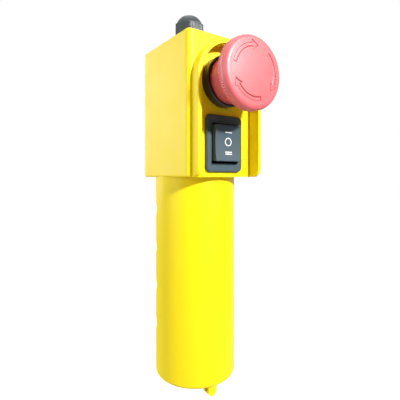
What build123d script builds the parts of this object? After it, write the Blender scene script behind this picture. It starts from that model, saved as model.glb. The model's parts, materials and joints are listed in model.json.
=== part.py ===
from build123d import *
import os
from math import asin, cos, degrees, radians, sqrt

# Hand-held pendant control station: two-shell plastic housing with a box head
# and a round grip, cable gland, mushroom stop button and rocker switch.
#
# Millimetres. +X is right seen from the front, +Y is back, +Z is up; the
# controls face -Y. The origin is the centre of the cable seal's bore.

# ---------------------------------------------------------------- housing
HEAD_WIDTH = 50.4
HEAD_DEPTH = 54.0
HEAD_HEIGHT = 80.0
HEAD_CORNER = 2.8           # radius of the head's upright edges
HEAD_EDGE = 0.9             # radius of its top and bottom edges
WALL = 2.6
GRIP_RADIUS = 25.0
GRIP_LENGTH = 122.5
GRIP_END_EDGE = 2.4
GLAND_FROM_REAR = 16.0      # gland axis in front of the head's rear face
PARTING_TO_GLAND = 9.5      # joint between the shells, in front of the gland axis
PARTING_TO_GRIP = 2.5       # grip axis behind the joint
LIP_HEIGHT = 2.0
LIP_WALL = 1.1
LIP_CLEARANCE = 0.12

PANEL_RECESS = 2.2          # control panel behind the front face
GUARD_HEIGHT = 5.8          # arch guard in front of the front face
GUARD_INSET = 2.5           # from the head's side to the guard
GUARD_WALL = 2.4
GUARD_CORNER = 5.4          # lower front corner of each guard leg
GUARD_EDGE = 0.7

SCOOP_COUNT = 4
SCOOP_PITCH = 23.7
SCOOP_FIRST = 20.0          # first scoop below the head
SCOOP_RADIUS = 12.0
SCOOP_DEPTH = 3.0
SCOOP_REACH = 69.0          # degrees from the rear at which a scoop fades out
SCOOP_MARGIN = 2.0          # inner relief beyond the scoop's mouth

EYE_WIDTH = 6.0             # lanyard eye under the grip
EYE_DROP = 8.8
EYE_FORWARD = 19.0          # its front, in front of the grip axis
EYE_TOP_DEPTH = 10.5
EYE_TIP_DEPTH = 4.5
EYE_HOLE_RADIUS = 1.7

BOSS_RADIUS = 4.4
BOSS_OVERLAP = 0.6          # how far a boss runs into the side wall
BOSS_FROM_TOP = 9.0
BOSS_FROM_BOTTOM = 7.5
BOSS_FROM_END = 6.5
SCREW_RADIUS = 1.75
SCREW_HEAD_RADIUS = 3.1
SCREW_HEAD_HEIGHT = 2.2
SCREW_SEAT = 3.0            # plastic under the screw's head
SCREW_BITE = 12.0           # thread in the front shell
SCREW_CLEARANCE = 0.15
PILOT_CLEARANCE = 0.03

# ---------------------------------------------------------------- cable gland
GLAND_SEAL_HEIGHT = 17.0    # centre of the seal above the head
GLAND_RISE = 24.3           # top of the dome nut above the head
CABLE_BORE_RADIUS = 4.0
SEAL_WALL = 1.6
SEAL_LENGTH = 7.0
GLAND_BODY_RADIUS = 5.0     # bore below the seal
GLAND_NECK_WALL = 1.3
GLAND_THREAD_DEPTH = 0.7    # entry thread outside the neck
GLAND_THREAD_LENGTH = 9.5
GLAND_NUT_WALL = 2.0
GLAND_FLANGE = 4.5
GLAND_WASHER = 1.3
GLAND_CLAW_COUNT = 6
GLAND_CLAW_GAP = 1.2
DOME_SHOULDER = 4.6         # dome above the hexagon
DOME_MOUTH_GAP = 0.9        # round the cable
THREAD_CLEARANCE = 0.1
LOCK_NUT_THICKNESS = 4.5
LOCK_NUT_WALL = 1.9

# ---------------------------------------------------------------- stop button
ESTOP_DROP = 25.9           # axis below the head's top
ESTOP_TRAVEL = 3.6
CAP_RADIUS = 19.6
CAP_REACH = 25.2            # crown in front of the head's front face
CAP_CROWN = 0.8             # rise of the crown
CAP_ROLL = 3.6              # rounding between the face and the ribbed rim
CAP_RIM_WIDTH = 2.2
CAP_BEVEL = 0.9             # behind the rim
NECK_RADIUS = 13.2
NECK_WALL = 1.6
HUB_RADIUS = 7.9
STEM_RADIUS = 5.0
SPINDLE_RADIUS = 7.5
SLIDE_CLEARANCE = 0.08
PANEL_HOLE_CLEARANCE = 0.3
COLLAR_WALL = 1.1
COLLAR_HEIGHT = 5.6
COLLAR_FLOOR = 1.6
NECK_CLEARANCE = 0.4
NECK_ENTRY = 0.2            # the neck's end inside the collar
BUSH_RADIUS = 10.9
BUSH_LENGTH = 16.0          # behind the panel's front
SEAL_RING_DEPTH = 0.8
RING_NUT_WALL = 3.6
RING_NUT_THICKNESS = 5.0
CLIP_THICKNESS = 0.8
SPRING_WIRE = 1.1
SPRING_TURNS = 5

BLOCK_WIDTH = 22.0
BLOCK_HEIGHT = 25.0
BLOCK_DEPTH = 20.0
BLOCK_WALL = 1.8
PLUNGER_RADIUS = 2.2
PLUNGER_HEAD = 0.9
BRIDGE_LENGTH = 13.0
BRIDGE_WIDTH = 4.0
STRIP = 0.8                 # thickness of contact metal
CONTACT_GAP = 0.15

# ---------------------------------------------------------------- rocker switch
ROCKER_DROP = 61.0          # centre below the head's top
BEZEL_WIDTH = 25.5
BEZEL_HEIGHT = 32.2
BEZEL_THICKNESS = 2.0
BEZEL_CORNER = 2.8
BEZEL_LAP = 1.8             # bezel beyond the switch's body
SWITCH_DEPTH = 18.0
SWITCH_WALL = 1.5
CUTOUT_CLEARANCE = 0.15
PADDLE_SIDE = 1.9           # from the switch's side to the paddle
PADDLE_END = 4.0            # from the switch's end to the paddle
PADDLE_PROUD = 4.0          # its two ends, in front of the bezel
PADDLE_HOLLOW = 1.2         # how much lower its middle is
PADDLE_SKIRT = 5.0
WINDOW_SIDE_GAP = 0.35
WINDOW_END_GAP = 1.0
TRUNNION_RADIUS = 1.3
PIN_RADIUS = 1.4
PIN_TIP = 10.4              # pin's tip behind the pivot
LEVER_LENGTH = 14.0
LEVER_WIDTH = 3.6
LEVER_RIB = 0.8             # radius of the rib it rocks on
BLADE_WIDTH = 4.8
BLADE_LENGTH = 9.0
BLADE_PITCH = 6.6

# ---------------------------------------------------------------- run capacitor
CAN_MARGIN = 1.9            # from the can to the thinned grip's wall
CAN_LENGTH = 68.0
CAN_FROM_END = 16.0
CAN_CLEARANCE = 0.25
RIB_THICKNESS = 1.8
RIB_INSET = 10.0
WIRE_RADIUS = 0.9           # jumper wires
WIRE_BEND = 1.8

# ---------------------------------------------------------------- places
Z_TOP = -GLAND_SEAL_HEIGHT
Z_BOTTOM = Z_TOP - HEAD_HEIGHT
Z_END = Z_BOTTOM - GRIP_LENGTH
Y_REAR = GLAND_FROM_REAR
Y_FRONT = Y_REAR - HEAD_DEPTH
Y_PANEL = Y_FRONT + PANEL_RECESS
Y_PANEL_BACK = Y_PANEL + WALL
Y_PARTING = -PARTING_TO_GLAND
Y_GRIP = Y_PARTING + PARTING_TO_GRIP
Z_ESTOP = Z_TOP - ESTOP_DROP
Z_ROCKER = Z_TOP - ROCKER_DROP
Z_CAN = Z_END + CAN_FROM_END
Y_CROWN = Y_FRONT - CAP_REACH
Y_COLLAR = Y_PANEL - COLLAR_HEIGHT
Y_BUSH_END = Y_PANEL + BUSH_LENGTH
Y_NECK_END = Y_COLLAR + NECK_ENTRY
Y_CEILING = Y_CROWN + CAP_ROLL + 2.0
Y_HUB_END = Y_COLLAR - ESTOP_TRAVEL - 0.5
Y_SPINDLE_END = Y_BUSH_END + 2.6
Y_BLOCK = Y_SPINDLE_END + PLUNGER_HEAD + ESTOP_TRAVEL + 0.4
Y_BEZEL = Y_PANEL - BEZEL_THICKNESS
Y_PIVOT = Y_PANEL
BIG = 400.0

# ---------------------------------------------------------------- fits and derived sizes
SEAL_RADIUS = CABLE_BORE_RADIUS + SEAL_WALL
SEAT_RADIUS = SEAL_RADIUS + 0.02
GLAND_NECK_RADIUS = SEAL_RADIUS + GLAND_NECK_WALL
GLAND_THREAD_RADIUS = GLAND_NECK_RADIUS + GLAND_THREAD_DEPTH
GLAND_ACROSS_FLATS = 2 * (GLAND_NECK_RADIUS + THREAD_CLEARANCE + GLAND_NUT_WALL)
DOME_MOUTH_RADIUS = CABLE_BORE_RADIUS + DOME_MOUTH_GAP
DOME_RADIUS = GLAND_ACROSS_FLATS / 2 + 0.1
LOCK_NUT_ACROSS_FLATS = 2 * (GLAND_THREAD_RADIUS + LOCK_NUT_WALL)
LOCK_NUT_RADIUS = LOCK_NUT_ACROSS_FLATS / sqrt(3)
BUSH_BORE = SPINDLE_RADIUS + SLIDE_CLEARANCE
PANEL_HOLE_RADIUS = BUSH_RADIUS + PANEL_HOLE_CLEARANCE
COLLAR_RADIUS = NECK_RADIUS + NECK_CLEARANCE + COLLAR_WALL
RING_NUT_RADIUS = BUSH_RADIUS + RING_NUT_WALL
SWITCH_WIDTH = BEZEL_WIDTH - 2 * BEZEL_LAP
SWITCH_HEIGHT = BEZEL_HEIGHT - 2 * BEZEL_LAP
PADDLE_WIDTH = SWITCH_WIDTH - 2 * PADDLE_SIDE
PADDLE_HEIGHT = SWITCH_HEIGHT - 2 * PADDLE_END
POLE_SPACING = SWITCH_WIDTH / 2 - 2.0       # between the two contact rows
CAN_RADIUS = GRIP_RADIUS - SCOOP_DEPTH - WALL - CAN_MARGIN


# ---------------------------------------------------------------- form helpers
def turned_y(z, *outline):
    """Solid turned about the front-to-back axis at height z, from (radius, y) points."""
    section = make_face(Polyline(*outline, close=True))
    return revolve(Pos(0, 0, z) * section, Axis((0, 0, z), (0, 1, 0)))


def ring_y(z, outer, inner, front, back):
    """Plain ring about the front-to-back axis at height z."""
    return turned_y(z, (inner, front), (outer, front), (outer, back), (inner, back))


def turned_z(*outline):
    """Solid turned about the gland's upright axis, from (radius, z) points."""
    section = make_face(Polyline(*outline, close=True))
    return revolve(Plane.XZ * section, Axis.Z)


def ring_z(outer, inner, bottom, top):
    """Plain ring about the gland's axis."""
    return turned_z((inner, bottom), (outer, bottom), (outer, top), (inner, top))


def facing(y):
    """Sketch plane at depth y, seen from the front: its x is X, its y is Z."""
    return Plane(origin=(0, y, 0), x_dir=(1, 0, 0), z_dir=(0, -1, 0))


def slab(x, y, z):
    """Block between pairs of X, Y and Z limits."""
    size = [pair[1] - pair[0] for pair in (x, y, z)]
    middle = [(pair[0] + pair[1]) / 2 for pair in (x, y, z)]
    return Pos(*middle) * Box(*size)


def peg_y(x, z, radius, front, back):
    """Cylinder from front to back."""
    return Pos(x, (front + back) / 2, z) * Rot(90, 0, 0) * Cylinder(radius, back - front)


def peg_x(y, z, radius, half_length):
    """Cylinder along X, centred on X = 0."""
    return Pos(0, y, z) * Rot(0, 90, 0) * Cylinder(radius, 2 * half_length)


def hexagon(across_flats, bottom, top):
    """Upright hexagonal prism on the gland's axis, corners on +X and -X."""
    outline = RegularPolygon(across_flats / 2, 6, major_radius=False)
    return extrude(Pos(0, 0, bottom) * outline, top - bottom)


def coil(radius, wire, length, turns, steps=14):
    """Compression spring standing on Z = 0, of six-sided wire in short straight runs."""
    rise = length - wire
    path = Helix(rise / turns, rise, radius)
    sections = []
    for n in range(steps * turns + 1):
        at = n / (steps * turns)
        plane = Plane(origin=path @ at, x_dir=(0, 0, 1), z_dir=path % at)
        sections.append(plane * RegularPolygon(wire / 2, 6))
    return Pos(0, 0, wire / 2) * loft(sections, ruled=True)


# ---------------------------------------------------------------- housing forms
def head_form(inset, front=Y_FRONT):
    """Head block drawn in by inset on every side."""
    y0 = front + inset
    y1 = Y_REAR - inset
    plan = RectangleRounded(HEAD_WIDTH - 2 * inset, y1 - y0, max(HEAD_CORNER - inset, 0.6))
    return extrude(Pos(0, (y0 + y1) / 2, Z_BOTTOM + inset) * plan, HEAD_HEIGHT - 2 * inset)


def grip_form(inset, top):
    """Round grip drawn in by inset, running up to the given height."""
    bottom = Z_END + inset
    body = Pos(0, Y_GRIP, bottom) * Cylinder(
        GRIP_RADIUS - inset, top - bottom, align=(Align.CENTER, Align.CENTER, Align.MIN))
    rounding = GRIP_END_EDGE - inset
    return fillet(body.edges().sort_by(Axis.Z)[0], rounding) if rounding > 0.5 else body


def scoop_places():
    """(y, z) of the scoops' centres; the axis stands forward so that they fade out sideways."""
    y = Y_GRIP - SCOOP_DEPTH / (1 - cos(radians(SCOOP_REACH)))
    return [(y, Z_BOTTOM - SCOOP_FIRST - n * SCOOP_PITCH) for n in range(SCOOP_COUNT)]


def scoop_tools():
    """Half tori that press the finger scoops into the grip's back."""
    back_half = slab((-BIG, BIG), (Y_GRIP, BIG), (Z_END, Z_BOTTOM))
    tools = []
    for y, z in scoop_places():
        ring = GRIP_RADIUS + (Y_GRIP - y) - SCOOP_DEPTH + SCOOP_RADIUS
        tools.append((Pos(0, y, z) * Torus(ring, SCOOP_RADIUS)) & back_half)
    return tools


def scoop_reliefs():
    """Flared rings that keep the grip's wall behind the scoops."""
    flat = SCOOP_RADIUS / 3
    mouth = sqrt(SCOOP_RADIUS ** 2 - (SCOOP_RADIUS - SCOOP_DEPTH) ** 2) + SCOOP_MARGIN
    flare = (mouth - flat) / SCOOP_DEPTH
    tools = []
    for y, z in scoop_places():
        near = GRIP_RADIUS + (Y_GRIP - y) - WALL - SCOOP_DEPTH
        far = near + SCOOP_DEPTH + 2
        reach = mouth + 2 * flare
        tools.append(Pos(0, y, z) * turned_z((near, -flat), (far, -reach), (far, reach), (near, flat)))
    return tools


def outer_form():
    """Outside of the closed housing, without the guard."""
    head = head_form(0)
    flat_ends = head.faces().filter_by(Axis.Z)
    head = fillet(flat_ends.edges(), HEAD_EDGE)
    form = head + grip_form(0, Z_BOTTOM + WALL) + lanyard_eye()
    for scoop in scoop_tools():
        form -= scoop
    return form


def cavity(inset=0.0):
    """Hollow of the housing, drawn in further by inset."""
    draw_in = WALL + inset
    return head_form(draw_in, front=Y_PANEL) + grip_form(draw_in, Z_BOTTOM + draw_in + 1)


def lanyard_eye():
    """Rounded eye under the grip, thinning towards its tip, pierced from side to side."""
    y0 = Y_GRIP - EYE_FORWARD
    tip = Z_END - EYE_DROP
    root = Z_END + 0.5 * WALL
    side = Plane.YZ * make_face(Polyline(
        (y0, root), (y0 + EYE_TOP_DEPTH, root), (y0 + EYE_TIP_DEPTH, tip), (y0, tip), close=True))
    fin = extrude(side, EYE_WIDTH / 2, both=True)
    low = fin.faces().sort_by(Axis.Z)[0]
    fin = fillet(low.edges().filter_by(Axis.Y), EYE_WIDTH / 2 - 0.05)
    hole_y = y0 + EYE_TIP_DEPTH / 2 + 0.6
    return fin - peg_x(hole_y, Z_END - EYE_DROP / 2, EYE_HOLE_RADIUS, EYE_WIDTH)


def arch(half_width):
    """Outline of the guard: half-round over the stop button, open at the bottom."""
    legs = Pos(0, (Z_ESTOP + Z_BOTTOM) / 2) * Rectangle(2 * half_width, Z_ESTOP - Z_BOTTOM)
    return legs + Pos(0, Z_ESTOP) * Circle(half_width)


def guard():
    """Raised arch around the controls, before its inside is cut."""
    half_width = HEAD_WIDTH / 2 - GUARD_INSET
    block = extrude(facing(Y_FRONT + 1) * arch(half_width), GUARD_HEIGHT + 1)
    front = block.faces().sort_by(Axis.Y)[0]
    foot = front.edges().sort_by(Axis.Z)[0]
    block = fillet(foot, GUARD_CORNER)
    front = block.faces().filter_by(Axis.Y).sort_by(Axis.Y)[0]
    rounded = [edge for edge in front.edges() if edge.center().Z > Z_BOTTOM + GUARD_CORNER + 1]
    return fillet(rounded, GUARD_EDGE)


def guard_inside():
    """Space inside the guard, down to the control panel."""
    half_width = HEAD_WIDTH / 2 - GUARD_INSET - GUARD_WALL
    below = Pos(0, Z_BOTTOM - 5) * Rectangle(2 * half_width, 12)
    return extrude(facing(Y_PANEL) * (arch(half_width) + below), GUARD_HEIGHT + PANEL_RECESS + 5)


def boss_places():
    """(x, z) of the screws: four at the head's corners, one at the grip's end."""
    x = HEAD_WIDTH / 2 - WALL - BOSS_RADIUS + BOSS_OVERLAP
    high = Z_TOP - BOSS_FROM_TOP
    low = Z_BOTTOM + BOSS_FROM_BOTTOM
    return [(x, high), (-x, high), (x, low), (-x, low), (0, Z_END + WALL + BOSS_FROM_END)]


def can_ribs():
    """Two ribs that cradle the capacitor inside the grip."""
    ribs = []
    for z in (Z_CAN + RIB_INSET, Z_CAN + CAN_LENGTH - RIB_INSET):
        plate = Cylinder(GRIP_RADIUS - WALL / 2, RIB_THICKNESS)
        hole = Cylinder(CAN_RADIUS + CAN_CLEARANCE, 2 * RIB_THICKNESS)
        ribs.append(Pos(0, Y_GRIP, z) * (plate - hole))
    return ribs


def front_half(form):
    return form & slab((-BIG, BIG), (-BIG, Y_PARTING), (-BIG, BIG))


def rear_half(form):
    return form & slab((-BIG, BIG), (Y_PARTING, BIG), (-BIG, BIG))


def make_front_shell(outer, hollow):
    shell = outer - hollow
    for rib in can_ribs():
        shell += rib & outer
    for x, z in boss_places():
        shell += peg_y(x, z, BOSS_RADIUS, Y_FRONT + 1.5, Y_PARTING) & outer
    shell = front_half(shell) + guard()
    shell -= guard_inside()
    for x, z in boss_places():
        shell -= peg_y(x, z, SCREW_RADIUS + PILOT_CLEARANCE, Y_PARTING - SCREW_BITE - 1, Y_PARTING + 1)
    shell -= peg_y(0, Z_ESTOP, PANEL_HOLE_RADIUS, Y_PANEL - 1, Y_PANEL_BACK + 1)
    opening = Pos(0, Z_ROCKER) * Rectangle(
        SWITCH_WIDTH + 2 * CUTOUT_CLEARANCE, SWITCH_HEIGHT + 2 * CUTOUT_CLEARANCE)
    return shell - extrude(facing(Y_PANEL_BACK + 1) * opening, WALL + 2)


def make_lip(bosses):
    """Tongue of the rear shell that steps inside the front shell."""
    tongue = cavity(LIP_CLEARANCE) - cavity(LIP_CLEARANCE + LIP_WALL)
    tongue = tongue & slab((-BIG, BIG), (Y_PARTING - LIP_HEIGHT, Y_PARTING + 1), (-BIG, BIG))
    root = cavity() - cavity(LIP_CLEARANCE + LIP_WALL)
    root = root & slab((-BIG, BIG), (Y_PARTING, Y_PARTING + LIP_HEIGHT), (-BIG, BIG))
    lip = tongue + root
    for x, z in bosses:
        lip -= peg_y(x, z, BOSS_RADIUS + 0.3, Y_PARTING - LIP_HEIGHT - 1, Y_PARTING)
    for rib_z in (Z_CAN + RIB_INSET, Z_CAN + CAN_LENGTH - RIB_INSET):
        half = RIB_THICKNESS / 2 + 0.3
        lip -= slab((-BIG, BIG), (Y_PARTING - BIG, Y_PARTING), (rib_z - half, rib_z + half))
    return lip - ring_z(LOCK_NUT_RADIUS + 0.5, 0, Z_TOP - BIG, Z_TOP)


def make_rear_shell(outer, hollow):
    shell = outer - hollow
    for rib in can_ribs():
        shell += rib & outer
    for x, z in boss_places():
        shell += peg_y(x, z, BOSS_RADIUS, Y_PARTING, BIG) & outer
    shell = rear_half(shell) + make_lip(boss_places())
    for x, z in boss_places():
        shell -= peg_y(x, z, SCREW_RADIUS + SCREW_CLEARANCE, Y_PARTING - 1, BIG)
        seat = Y_PARTING + SCREW_SEAT
        shell -= peg_y(x, z, SCREW_HEAD_RADIUS + SCREW_CLEARANCE, seat, BIG)
    entry = ring_z(GLAND_THREAD_RADIUS + THREAD_CLEARANCE, 0, Z_TOP - WALL - 1, Z_TOP + 1)
    return shell - entry


def make_housing_screws():
    """Pan-head self-tapping screws, driven from the rear."""
    screws = []
    seat = Y_PARTING + SCREW_SEAT
    for x, z in boss_places():
        shank = peg_y(x, z, SCREW_RADIUS, Y_PARTING - SCREW_BITE, seat + 0.5)
        head = peg_y(x, z, SCREW_HEAD_RADIUS, seat, seat + SCREW_HEAD_HEIGHT)
        head = chamfer(head.edges().sort_by(Axis.Y)[-1], 0.8)
        slot = Pos(x, seat + SCREW_HEAD_HEIGHT, z) * (Box(3.4, 2.0, 0.8) + Box(0.8, 2.0, 3.4))
        screws.append(shank + head - slot)
    return Compound(children=screws)


# ---------------------------------------------------------------- gland
Z_FLANGE = Z_TOP + GLAND_WASHER
Z_NECK = Z_FLANGE + GLAND_FLANGE
Z_DOME_TOP = Z_TOP + GLAND_RISE
SEAL_HALF = SEAL_LENGTH / 2


def make_gland_body():
    """Thread, hexagonal flange, neck and clamping claws in one moulding."""
    thread = ring_z(GLAND_THREAD_RADIUS, GLAND_BODY_RADIUS, Z_FLANGE - GLAND_THREAD_LENGTH, Z_NECK)
    flange = hexagon(GLAND_ACROSS_FLATS, Z_FLANGE, Z_NECK)
    flange -= ring_z(GLAND_BODY_RADIUS, 0, Z_FLANGE - 1, Z_NECK + 1)
    neck = ring_z(GLAND_NECK_RADIUS, GLAND_BODY_RADIUS, Z_NECK - 1, SEAL_HALF)
    body = thread + flange + neck - ring_z(SEAT_RADIUS, 0, -SEAL_HALF, SEAL_HALF + 1)
    for n in range(GLAND_CLAW_COUNT):
        cut = slab((0, 10), (-GLAND_CLAW_GAP / 2, GLAND_CLAW_GAP / 2), (-SEAL_HALF + 1, SEAL_HALF + 1))
        body -= Rot(0, 0, (n + 0.5) * 360 / GLAND_CLAW_COUNT) * cut
    return body


def make_gland_washer():
    return ring_z(GLAND_ACROSS_FLATS / 2 + 0.4, GLAND_THREAD_RADIUS + THREAD_CLEARANCE, Z_TOP, Z_FLANGE)


def make_gland_lock_nut():
    top = Z_TOP - WALL
    nut = hexagon(LOCK_NUT_ACROSS_FLATS, top - LOCK_NUT_THICKNESS, top)
    return nut - ring_z(GLAND_THREAD_RADIUS + 0.02, 0, -BIG, BIG)


def make_gland_seal():
    """Rubber sleeve with a waist at each end's outer edge."""
    r = SEAL_RADIUS
    return turned_z((CABLE_BORE_RADIUS, -SEAL_HALF), (r - 0.5, -SEAL_HALF), (r, -SEAL_HALF + 0.5),
                    (r, SEAL_HALF - 1.2), (r - 0.6, SEAL_HALF), (CABLE_BORE_RADIUS, SEAL_HALF))


def make_gland_dome_nut():
    """Domed hexagonal nut: flats below, round dome with the cable's mouth above."""
    bottom = Z_NECK + 0.4
    shoulder = Z_DOME_TOP - DOME_SHOULDER
    half = GLAND_ACROSS_FLATS / 2
    corner = 1.155 * half
    prism = hexagon(GLAND_ACROSS_FLATS, bottom, shoulder)
    prism &= turned_z((0, bottom), (half + 0.5, bottom), (corner, bottom + 0.8), (corner, shoulder - 1.2),
                      (half - 0.2, shoulder), (0, shoulder))
    dome = Sphere(DOME_RADIUS) & slab((-BIG, BIG), (-BIG, BIG), (shoulder - 1, Z_DOME_TOP))
    mouth = DOME_MOUTH_RADIUS
    inside = GLAND_NECK_RADIUS + THREAD_CLEARANCE
    hollow = turned_z((0, bottom - 1), (inside, bottom - 1), (inside, SEAL_HALF + 0.3),
                      (mouth, SEAL_HALF + 2.6), (mouth, Z_DOME_TOP + 1), (0, Z_DOME_TOP + 1))
    return prism + dome - hollow


# ---------------------------------------------------------------- stop button
def make_estop_cap():
    """Mushroom with a crowned face, a rounded roll, a narrow rim and a hollow neck."""
    c = Y_CROWN
    face_radius = CAP_RADIUS - CAP_ROLL
    crown = (face_radius ** 2 + CAP_CROWN ** 2) / (2 * CAP_CROWN)
    face = CenterArc((0, c + crown), crown, -90, degrees(asin(face_radius / crown)))
    rim = c + CAP_CROWN + CAP_ROLL
    roll = CenterArc((face_radius, rim), CAP_ROLL, -90, 90)
    back = rim + CAP_RIM_WIDTH
    neck_bore = NECK_RADIUS - NECK_WALL
    stem_bore = STEM_RADIUS + SLIDE_CLEARANCE
    under = Polyline((CAP_RADIUS, rim), (CAP_RADIUS, back), (CAP_RADIUS - 1.2, back + CAP_BEVEL),
                     (NECK_RADIUS, back + CAP_BEVEL), (NECK_RADIUS, Y_NECK_END), (neck_bore, Y_NECK_END),
                     (neck_bore, Y_CEILING), (HUB_RADIUS, Y_CEILING), (HUB_RADIUS, Y_HUB_END),
                     (stem_bore, Y_HUB_END), (stem_bore, Y_CEILING), (0, Y_CEILING), (0, c))
    section = make_face(face + roll + under)
    return revolve(Pos(0, 0, Z_ESTOP) * section, Axis((0, 0, Z_ESTOP), (0, 1, 0)))


def make_estop_collar():
    """Panel collar with its sleeve: the neck slides inside the rim, the spindle in the bush."""
    well = Y_PANEL - COLLAR_FLOOR
    mouth = NECK_RADIUS + NECK_CLEARANCE
    collar = turned_y(Z_ESTOP, (BUSH_BORE, Y_COLLAR), (BUSH_RADIUS, Y_COLLAR), (BUSH_RADIUS, well),
                      (mouth, well), (mouth, Y_COLLAR), (COLLAR_RADIUS - 0.6, Y_COLLAR),
                      (COLLAR_RADIUS, Y_COLLAR + 0.6), (COLLAR_RADIUS, Y_PANEL), (BUSH_RADIUS, Y_PANEL),
                      (BUSH_RADIUS, Y_BUSH_END), (BUSH_BORE, Y_BUSH_END))
    groove = ring_y(Z_ESTOP, COLLAR_RADIUS - 0.8, BUSH_RADIUS + 0.6,
                    Y_PANEL - SEAL_RING_DEPTH, Y_PANEL + 0.1)
    return collar - groove


def make_estop_seal():
    gap = 0.05
    return ring_y(Z_ESTOP, COLLAR_RADIUS - 0.8 - gap, BUSH_RADIUS + 0.6 + gap,
                  Y_PANEL - SEAL_RING_DEPTH, Y_PANEL)


def make_estop_lock_nut():
    """Ring nut behind the panel, notched for a spanner."""
    back = Y_PANEL_BACK + RING_NUT_THICKNESS
    nut = ring_y(Z_ESTOP, RING_NUT_RADIUS, BUSH_RADIUS + 0.02, Y_PANEL_BACK, back)
    for n in range(6):
        notch = Pos(RING_NUT_RADIUS, back, 0) * Box(2.4, 5.0, 3.0)
        nut -= Pos(0, 0, Z_ESTOP) * Rot(0, 60 * n, 0) * notch
    return nut


def make_estop_spindle():
    """Stem in the cap's hub, shaft in the bush, groove for the retaining clip."""
    shoulder = Y_HUB_END + 0.1
    groove = Y_BUSH_END + 0.15
    neck = SPINDLE_RADIUS - 1.8
    tail = SPINDLE_RADIUS - 0.3
    return turned_y(Z_ESTOP, (0, Y_CEILING + 0.1), (STEM_RADIUS, Y_CEILING + 0.1), (STEM_RADIUS, shoulder),
                    (SPINDLE_RADIUS, shoulder), (SPINDLE_RADIUS, groove), (neck, groove),
                    (neck, groove + CLIP_THICKNESS + 0.1), (tail, groove + CLIP_THICKNESS + 0.1),
                    (tail, Y_SPINDLE_END), (0, Y_SPINDLE_END))


def make_estop_clip():
    """Open retaining ring in the spindle's groove."""
    front = Y_BUSH_END + 0.2
    inner = SPINDLE_RADIUS - 1.8 + 0.02
    clip = ring_y(Z_ESTOP, BUSH_RADIUS - 1.6, inner, front, front + CLIP_THICKNESS)
    mouth = slab((-inner * 0.8, inner * 0.8), (front - 1, front + 2), (Z_ESTOP - 20, Z_ESTOP))
    return clip - mouth


def make_estop_spring():
    """Return spring around the hub, between the collar's bush and the cap."""
    mean = (HUB_RADIUS + 0.3 + SPRING_WIRE / 2)
    length = (Y_COLLAR - 0.05) - (Y_CEILING + 0.05)
    spring = coil(mean, SPRING_WIRE, length, SPRING_TURNS)
    return Pos(0, Y_COLLAR - 0.05, Z_ESTOP) * Rot(90, 0, 0) * spring


# ---------------------------------------------------------------- contact block
Y_BLOCK_BACK = Y_BLOCK + BLOCK_DEPTH
Y_TERMINAL = Y_BLOCK_BACK + 0.4     # end of the terminal strips
Y_FIXED = Y_BLOCK + BLOCK_WALL + 4.0
Y_BRIDGE = Y_FIXED + STRIP + CONTACT_GAP
CHAMBER_BACK = Y_BLOCK_BACK - BLOCK_WALL


def make_contact_housing():
    """Contact block clipped over the end of the bush, with the contact chamber inside."""
    half_w = BLOCK_WIDTH / 2
    half_h = BLOCK_HEIGHT / 2
    block = slab((-half_w, half_w), (Y_BLOCK, Y_BLOCK_BACK), (Z_ESTOP - half_h, Z_ESTOP + half_h))
    block = fillet(block.edges().filter_by(Axis.Y), 1.2)
    grip = ring_y(Z_ESTOP, BUSH_RADIUS + 1.8, BUSH_RADIUS + 0.05, Y_BUSH_END - 5, Y_BLOCK + 0.5)
    chamber_h = BRIDGE_LENGTH / 2 + 1.2
    chamber = slab((-BRIDGE_WIDTH, BRIDGE_WIDTH), (Y_BLOCK + BLOCK_WALL, CHAMBER_BACK),
                   (Z_ESTOP - chamber_h, Z_ESTOP + chamber_h))
    chamber += peg_y(0, Z_ESTOP, PLUNGER_RADIUS + SLIDE_CLEARANCE, Y_BLOCK - 1, Y_BLOCK + BLOCK_WALL + 1)
    body = block + grip - chamber
    for up in (1, -1):
        z0, z1 = sorted((Z_ESTOP + up * (chamber_h - 1), Z_ESTOP + up * (half_h + 1)))
        body -= slab((-3.05, 3.05), (Y_FIXED - 0.02, Y_FIXED + STRIP + 0.02), (z0, z1))
        body -= Pos(0, Y_FIXED + 7.0, Z_ESTOP + up * half_h) * Cylinder(1.55, 10)
    return body


def make_contact_plunger():
    front = Y_SPINDLE_END
    rod = peg_y(0, Z_ESTOP, PLUNGER_RADIUS, front, Y_BRIDGE)
    return rod + ring_y(Z_ESTOP, PLUNGER_RADIUS + 1.2, 0, front, front + PLUNGER_HEAD)


def make_contact_bridge():
    """Moving bar with a rounded contact at each end."""
    half = BRIDGE_LENGTH / 2
    bar = slab((-BRIDGE_WIDTH / 2, BRIDGE_WIDTH / 2), (Y_BRIDGE + 0.6, Y_BRIDGE + 0.6 + STRIP),
               (Z_ESTOP - half, Z_ESTOP + half))
    tips = [peg_y(0, Z_ESTOP + up * (half - 1.6), 1.4, Y_BRIDGE, Y_BRIDGE + 1) for up in (1, -1)]
    return bar + tips[0] + tips[1] + peg_y(0, Z_ESTOP, 1.2, Y_BRIDGE + 0.01, Y_BRIDGE + 2)


def make_contact_spring():
    start = Y_BRIDGE + 0.6 + STRIP + 0.05
    spring = coil(1.9, 0.5, CHAMBER_BACK - start - 0.05, 5)
    return Pos(0, CHAMBER_BACK - 0.05, Z_ESTOP) * Rot(90, 0, 0) * spring


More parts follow.
